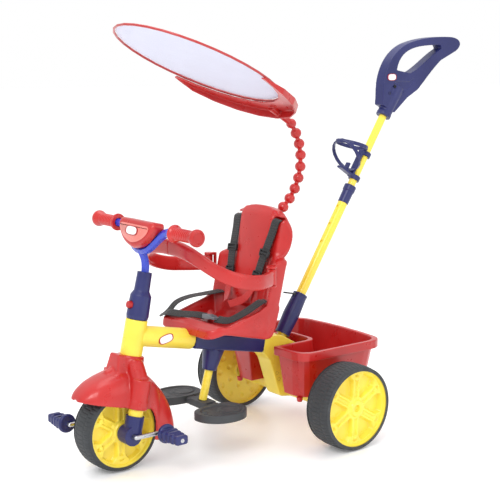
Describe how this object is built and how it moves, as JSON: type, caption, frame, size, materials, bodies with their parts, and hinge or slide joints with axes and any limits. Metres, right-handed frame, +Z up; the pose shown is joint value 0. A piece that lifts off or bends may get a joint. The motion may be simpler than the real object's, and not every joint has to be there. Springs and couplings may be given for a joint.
{
  "type": "children's tricycle",
  "caption": "Push-along children's tricycle with swivelling front wheel, safety ring seat, sun canopy on a bendable neck, rear bin and telescopic push bar.",
  "frame": {"origin": "centre of the footprint box, on the ground", "axes": "+Z up, -Y towards the front wheel, +X to the rider's left"},
  "size_m": [0.489, 1.1438, 0.9449],
  "materials": {
    "red_plastic": "glossy",
    "yellow_plastic": "glossy",
    "navy_plastic": "satin",
    "blue_paint": "glossy",
    "yellow_paint": "glossy",
    "red_wire": "satin",
    "steel": "brushed",
    "tyre_plastic": "matte",
    "grey_plastic": "matte",
    "webbing": "woven",
    "red_webbing": "woven",
    "canopy_fabric": "woven",
    "buckle_plastic": "matte"
  },
  "bodies": {
    "frame": {"front_frame": "yellow_plastic", "centre_frame": "navy_plastic", "rear_frame": "yellow_plastic", "rear_axle": "steel", "axle_bush_left": "navy_plastic", "axle_bush_right": "navy_plastic", "seat": "red_plastic", "shoulder_strap_left": "webbing", "waist_strap_left": "webbing", "shoulder_strap_right": "webbing", "waist_strap_right": "webbing", "harness_buckle": "buckle_plastic", "crotch_strap": "red_webbing", "ring_hinge_left": "red_plastic", "ring_hinge_right": "red_plastic", "lower_pole": "yellow_paint", "pole_sleeve": "navy_plastic", "pole_collar": "navy_plastic", "bin": "red_plastic", "footrest_post": "yellow_paint", "footrest_bracket": "grey_plastic", "neck_mount": "red_plastic"},
    "steering": {"fork": "yellow_plastic", "fork_end_left": "navy_plastic", "fork_end_right": "navy_plastic", "front_fender": "red_plastic", "steering_collar": "navy_plastic", "handlebar": "blue_paint", "grip_left": "red_plastic", "grip_right": "red_plastic", "handlebar_console": "red_plastic"},
    "front_wheel": {"front_wheel": "yellow_plastic", "front_tyre": "tyre_plastic", "crank_axle": "steel"},
    "pedal_left": {"pedal_left": "navy_plastic"},
    "rear_wheel_left": {"rear_wheel_left": "yellow_plastic", "rear_tyre_left": "tyre_plastic"},
    "ring_arm_left": {"ring_arm_left": "red_plastic"},
    "footrest_left": {"footrest_left": "grey_plastic"},
    "pedal_right": {"pedal_right": "navy_plastic"},
    "rear_wheel_right": {"rear_wheel_right": "yellow_plastic", "rear_tyre_right": "tyre_plastic"},
    "ring_arm_right": {"ring_arm_right": "red_plastic"},
    "footrest_right": {"footrest_right": "grey_plastic"},
    "steering_button": {"steering_button": "red_plastic"},
    "push_bar": {"upper_pole": "yellow_paint", "push_handle": "navy_plastic", "cup_holder": "navy_plastic"},
    "pole_release_lever": {"pole_release_lever": "grey_plastic"},
    "neck_bead_1": {"neck_bead_1": "red_plastic"},
    "neck_bead_2": {"neck_bead_2": "red_plastic"},
    "neck_bead_3": {"neck_bead_3": "red_plastic"},
    "neck_bead_4": {"neck_bead_4": "red_plastic"},
    "neck_bead_5": {"neck_bead_5": "red_plastic"},
    "neck_bead_6": {"neck_bead_6": "red_plastic"},
    "neck_bead_7": {"neck_bead_7": "red_plastic"},
    "neck_bead_8": {"neck_bead_8": "red_plastic"},
    "canopy": {"canopy_bracket": "red_plastic", "canopy_hoop": "red_wire", "canopy_fabric": "canopy_fabric"}
  },
  "joints": [
    {"name": "steering_turn", "type": "hinge", "parent": "frame", "child": "steering", "pos_m": [0, -0.46922, 0.08744], "axis": [0, 0.2164, 0.9763], "range_deg": [-30, 30]},
    {"name": "front_wheel_spin", "type": "hinge", "parent": "steering", "child": "front_wheel", "pos_m": [0, -0.47508, 0.08873], "axis": [1, 0, 0], "continuous": true},
    {"name": "pedal_left_spin", "type": "hinge", "parent": "front_wheel", "child": "pedal_left", "pos_m": [0, -0.40908, 0.08873], "axis": [1, 0, 0], "continuous": true},
    {"name": "pedal_right_spin", "type": "hinge", "parent": "front_wheel", "child": "pedal_right", "pos_m": [0, -0.54108, 0.08873], "axis": [1, 0, 0], "continuous": true},
    {"name": "rear_wheel_left_spin", "type": "hinge", "parent": "frame", "child": "rear_wheel_left", "pos_m": [0, 0.00992, 0.09753], "axis": [1, 0, 0], "continuous": true},
    {"name": "rear_wheel_right_spin", "type": "hinge", "parent": "frame", "child": "rear_wheel_right", "pos_m": [0, 0.00992, 0.09753], "axis": [1, 0, 0], "continuous": true},
    {"name": "steering_button_press", "type": "slide", "parent": "steering", "child": "steering_button", "axis": [0, 0.9763, -0.2164], "range_m": [0, 0.003], "stiffness_N_per_m": 300, "springref_m": -0.002},
    {"name": "push_bar_height", "type": "slide", "parent": "frame", "child": "push_bar", "axis": [0, 0.5373, 0.8434], "range_m": [0, 0.1]},
    {"name": "release_lever_lift", "type": "hinge", "parent": "frame", "child": "pole_release_lever", "pos_m": [0, 0.02712, 0.32004], "axis": [1, 0, 0], "range_deg": [-20, 0]},
    {"name": "ring_left_open", "type": "hinge", "parent": "frame", "child": "ring_arm_left", "pos_m": [0.118, -0.14008, 0.39923], "axis": [0, 0, 1], "range_deg": [0, 75]},
    {"name": "ring_right_open", "type": "hinge", "parent": "frame", "child": "ring_arm_right", "pos_m": [-0.118, -0.14008, 0.39923], "axis": [0, 0, -1], "range_deg": [0, 75]},
    {"name": "footrest_left_fold", "type": "hinge", "parent": "frame", "child": "footrest_left", "pos_m": [0.036, -0.47508, 0.10123], "axis": [0, -1, 0], "range_deg": [0, 80]},
    {"name": "footrest_right_fold", "type": "hinge", "parent": "frame", "child": "footrest_right", "pos_m": [-0.036, -0.47508, 0.10123], "axis": [0, 1, 0], "range_deg": [0, 80]},
    {"name": "neck_pitch_1", "type": "hinge", "parent": "frame", "child": "neck_bead_1", "pos_m": [0, -0.00973, 0.53128], "axis": [1, 0, 0], "range_deg": [-6, 6]},
    {"name": "neck_sway_1", "type": "hinge", "parent": "neck_bead_1", "child": "neck_bead_2", "pos_m": [0, 0.00979, 0.5499], "axis": [0, 0.7581, -0.6521], "range_deg": [-6, 6]},
    {"name": "neck_pitch_2", "type": "hinge", "parent": "neck_bead_2", "child": "neck_bead_3", "pos_m": [0, 0.02528, 0.57198], "axis": [1, 0, 0], "range_deg": [-6, 6]},
    {"name": "neck_sway_2", "type": "hinge", "parent": "neck_bead_3", "child": "neck_bead_4", "pos_m": [0, 0.03614, 0.59667], "axis": [0, 0.9505, -0.3107], "range_deg": [-6, 6]},
    {"name": "neck_pitch_3", "type": "hinge", "parent": "neck_bead_4", "child": "neck_bead_5", "pos_m": [0, 0.04196, 0.62301], "axis": [1, 0, 0], "range_deg": [-6, 6]},
    {"name": "neck_sway_3", "type": "hinge", "parent": "neck_bead_5", "child": "neck_bead_6", "pos_m": [0, 0.0425, 0.64998], "axis": [0, 0.9969, 0.0785], "range_deg": [-6, 6]},
    {"name": "neck_pitch_4", "type": "hinge", "parent": "neck_bead_6", "child": "neck_bead_7", "pos_m": [0, 0.03775, 0.67654], "axis": [1, 0, 0], "range_deg": [-6, 6]},
    {"name": "neck_sway_4", "type": "hinge", "parent": "neck_bead_7", "child": "neck_bead_8", "pos_m": [0, 0.02788, 0.70164], "axis": [0, 0.8902, 0.4555], "range_deg": [-6, 6]},
    {"name": "neck_pitch_5", "type": "hinge", "parent": "neck_bead_8", "child": "canopy", "pos_m": [0, 0.01329, 0.72433], "axis": [1, 0, 0], "range_deg": [-6, 6]}
  ]
}
